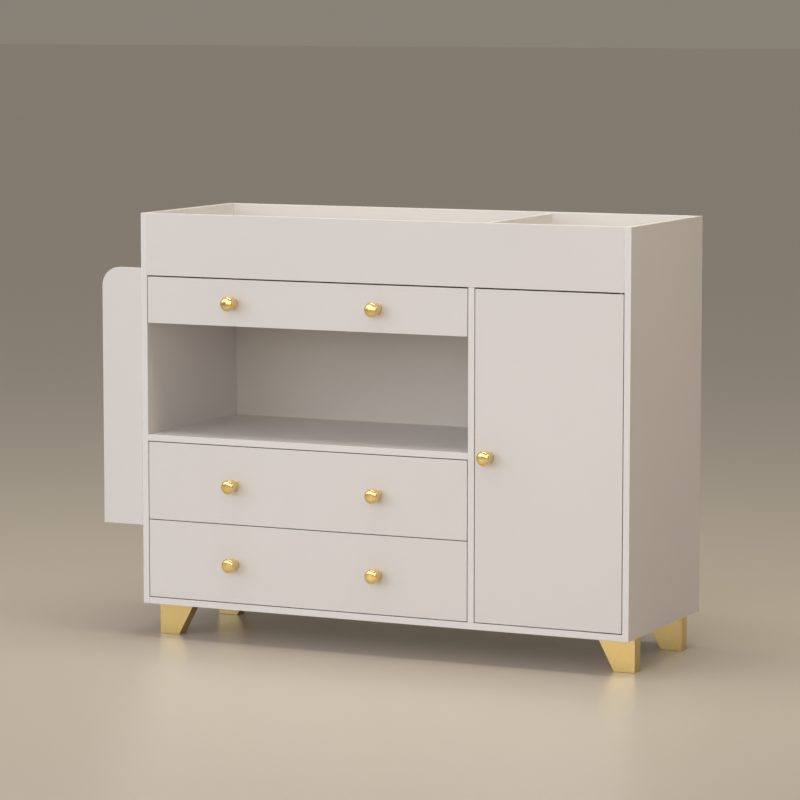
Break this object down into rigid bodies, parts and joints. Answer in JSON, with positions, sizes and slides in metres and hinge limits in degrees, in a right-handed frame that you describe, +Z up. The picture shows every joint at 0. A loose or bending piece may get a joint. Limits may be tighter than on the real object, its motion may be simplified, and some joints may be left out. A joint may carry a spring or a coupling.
{
  "type": "changing table",
  "caption": "Nursery changing table: tray top with divider over drawers, an open niche and a cupboard, with an open side shelf, round knobs and tapered block legs.",
  "frame": {"origin": "on the floor, under the middle of the box round the whole object", "axes": "+Z up, +Y from the front to the back, +X to the right seen from the front"},
  "size_m": [1.302, 0.476, 0.981],
  "materials": {
    "white_board": "satin white lacquer on fibreboard",
    "drawer_board": "matte white melamine on particle board",
    "thin_sheet": "matte white painted hardboard",
    "gold_lacquer": "gold lacquer on wood",
    "polished_gold": "polished gold plating",
    "zinc_steel": "bright zinc plating",
    "cam_zinc": "die-cast zinc alloy",
    "beech": "fluted raw beech",
    "catch_plastic": "moulded white plastic"
  },
  "bodies": {
    "cabinet": {"side_panel_left": "white_board", "side_panel_right": "white_board", "bottom_panel": "white_board", "partition": "white_board", "niche_shelf": "white_board", "niche_ceiling": "white_board", "tray_floor": "white_board", "front_rail": "white_board", "back_rail": "white_board", "tray_divider": "white_board", "back_panel": "thin_sheet", "cupboard_shelves": "white_board", "shelf_pins": "zinc_steel", "cam_locks": "cam_zinc", "cam_bolts": "zinc_steel", "rail_dowels": "beech", "side_shelf_dowels": "beech", "leg_front_left": "gold_lacquer", "leg_front_right": "gold_lacquer", "leg_rear_left": "gold_lacquer", "leg_rear_right": "gold_lacquer", "leg_bolts": "zinc_steel", "runner_cabinet_members": "zinc_steel", "cabinet_pivot_plates": "zinc_steel", "door_catch": "catch_plastic", "side_shelf_front_panel": "white_board", "side_shelf_rear_panel": "white_board", "side_shelf_boards": "white_board", "side_shelf_lips": "white_board"},
    "drawer_top": {"drawer_top_front": "white_board", "drawer_top_side_left": "drawer_board", "drawer_top_side_right": "drawer_board", "drawer_top_back": "drawer_board", "drawer_top_bottom": "thin_sheet", "drawer_top_knobs": "polished_gold", "drawer_top_knob_screws": "zinc_steel", "drawer_top_runner_members": "zinc_steel"},
    "drawer_top_carriages": {"drawer_top_runner_carriages": "zinc_steel"},
    "drawer_middle": {"drawer_middle_front": "white_board", "drawer_middle_side_left": "drawer_board", "drawer_middle_side_right": "drawer_board", "drawer_middle_back": "drawer_board", "drawer_middle_bottom": "thin_sheet", "drawer_middle_knobs": "polished_gold", "drawer_middle_knob_screws": "zinc_steel", "drawer_middle_runner_members": "zinc_steel"},
    "drawer_middle_carriages": {"drawer_middle_runner_carriages": "zinc_steel"},
    "drawer_bottom": {"drawer_bottom_front": "white_board", "drawer_bottom_side_left": "drawer_board", "drawer_bottom_side_right": "drawer_board", "drawer_bottom_back": "drawer_board", "drawer_bottom_bottom": "thin_sheet", "drawer_bottom_knobs": "polished_gold", "drawer_bottom_knob_screws": "zinc_steel", "drawer_bottom_runner_members": "zinc_steel"},
    "drawer_bottom_carriages": {"drawer_bottom_runner_carriages": "zinc_steel"},
    "door": {"door_panel": "white_board", "door_knob": "polished_gold", "door_knob_screw": "zinc_steel", "door_pivot_plates": "zinc_steel"}
  },
  "joints": [
    {"name": "drawer_top_slide", "type": "slide", "parent": "cabinet", "child": "drawer_top", "axis": [0, -1, 0], "range_m": [0, 0.35]},
    {"name": "drawer_top_carriage_slide", "type": "slide", "parent": "cabinet", "child": "drawer_top_carriages", "axis": [0, -1, 0], "range_m": [0, 0.175]},
    {"name": "drawer_middle_slide", "type": "slide", "parent": "cabinet", "child": "drawer_middle", "axis": [0, -1, 0], "range_m": [0, 0.35]},
    {"name": "drawer_middle_carriage_slide", "type": "slide", "parent": "cabinet", "child": "drawer_middle_carriages", "axis": [0, -1, 0], "range_m": [0, 0.175]},
    {"name": "drawer_bottom_slide", "type": "slide", "parent": "cabinet", "child": "drawer_bottom", "axis": [0, -1, 0], "range_m": [0, 0.35]},
    {"name": "drawer_bottom_carriage_slide", "type": "slide", "parent": "cabinet", "child": "drawer_bottom_carriages", "axis": [0, -1, 0], "range_m": [0, 0.175]},
    {"name": "door_hinge", "type": "hinge", "parent": "cabinet", "child": "door", "pos_m": [0.627, -0.197, 0.096], "axis": [0, 0, 1], "range_deg": [0, 100]}
  ],
  "couplings": [
    {"joint": "drawer_top_carriage_slide", "follows": "drawer_top_slide", "ratio": 0.5},
    {"joint": "drawer_middle_carriage_slide", "follows": "drawer_middle_slide", "ratio": 0.5},
    {"joint": "drawer_bottom_carriage_slide", "follows": "drawer_bottom_slide", "ratio": 0.5}
  ]
}
